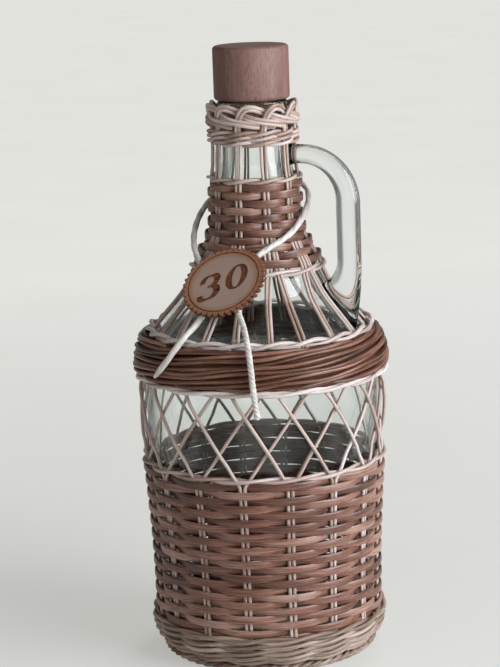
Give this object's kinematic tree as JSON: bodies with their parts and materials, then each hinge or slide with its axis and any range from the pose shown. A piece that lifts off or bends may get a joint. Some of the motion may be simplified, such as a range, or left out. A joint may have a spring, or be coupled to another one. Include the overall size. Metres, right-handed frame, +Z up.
{
  "type": "wicker-covered bottle",
  "caption": "Clear glass bottle with a glass handle in a woven cane cover, with a plaited rim, a wooden stopper and an oval tag on a paper cord.",
  "frame": {"origin": "centre of the foot, on the floor", "axes": "+Z up along the bottle's axis, +X from the axis toward the handle"},
  "size_m": [0.157, 0.1572, 0.3679],
  "materials": {
    "clear_glass": "clear, polished",
    "light_cane": "peeled cane, satin",
    "brown_cane": "stained cane, satin",
    "dark_cane": "dark stained cane, satin",
    "beech": "turned beech, oiled",
    "cork": "cork, matt",
    "plywood": "laser-cut plywood, matt",
    "paper_cord": "twisted paper cord, satin"
  },
  "bodies": {
    "covered_jug": {"glass_jug": "clear_glass", "glass_neck": "clear_glass", "glass_handle": "clear_glass", "body_cane_01": "light_cane", "body_cane_02": "light_cane", "body_cane_03": "light_cane", "body_cane_04": "light_cane", "body_cane_05": "light_cane", "body_cane_06": "light_cane", "body_cane_07": "light_cane", "body_cane_08": "light_cane", "body_cane_09": "light_cane", "body_cane_10": "light_cane", "body_cane_11": "light_cane", "body_cane_12": "light_cane", "body_cane_13": "light_cane", "body_cane_14": "light_cane", "body_cane_15": "light_cane", "body_cane_16": "light_cane", "neck_cane_01_left": "light_cane", "neck_cane_01_right": "light_cane", "neck_cane_02_left": "light_cane", "neck_cane_02_right": "light_cane", "neck_cane_03_left": "light_cane", "neck_cane_03_right": "light_cane", "neck_cane_04_left": "light_cane", "neck_cane_04_right": "light_cane", "neck_cane_05_left": "light_cane", "neck_cane_05_right": "light_cane", "neck_cane_06_left": "light_cane", "neck_cane_06_right": "light_cane", "neck_cane_07_left": "light_cane", "neck_cane_07_right": "light_cane", "neck_cane_08_left": "light_cane", "neck_cane_08_right": "light_cane", "neck_cane_09_left": "light_cane", "neck_cane_09_right": "light_cane", "neck_cane_10_left": "light_cane", "neck_cane_10_right": "light_cane", "shoulder_band": "dark_cane", "neck_collar": "light_cane", "base_weave": "light_cane", "body_ring": "light_cane", "shoulder_ring_lower": "light_cane", "shoulder_ring_upper": "light_cane", "neck_ring_lower": "light_cane", "neck_ring_upper": "light_cane", "neck_border": "light_cane", "foot_border": "light_cane", "body_weave": "brown_cane", "neck_weave": "brown_cane", "base_mat": "brown_cane"},
    "stopper": {"stopper_head": "beech", "stopper_plug": "cork"},
    "tie": {"tie_loop": "paper_cord"},
    "tag": {"tag_disc": "plywood", "tie_knot": "paper_cord", "tie_end_left": "paper_cord", "tie_end_right": "paper_cord"}
  },
  "joints": [
    {"name": "stopper_pull", "type": "slide", "parent": "covered_jug", "child": "stopper", "axis": [0, 0, 1], "range_m": [0, 0.05]},
    {"name": "tie_turn", "type": "hinge", "parent": "covered_jug", "child": "tie", "pos_m": [0, 0, 0.26], "axis": [0, 0, 1], "range_deg": [-220, 48]},
    {"name": "tag_lift", "type": "hinge", "parent": "tie", "child": "tag", "pos_m": [-0.00571, -0.03745, 0.25052], "axis": [-0.9812, -0.0682, -0.1803], "range_deg": [0, 70]}
  ]
}
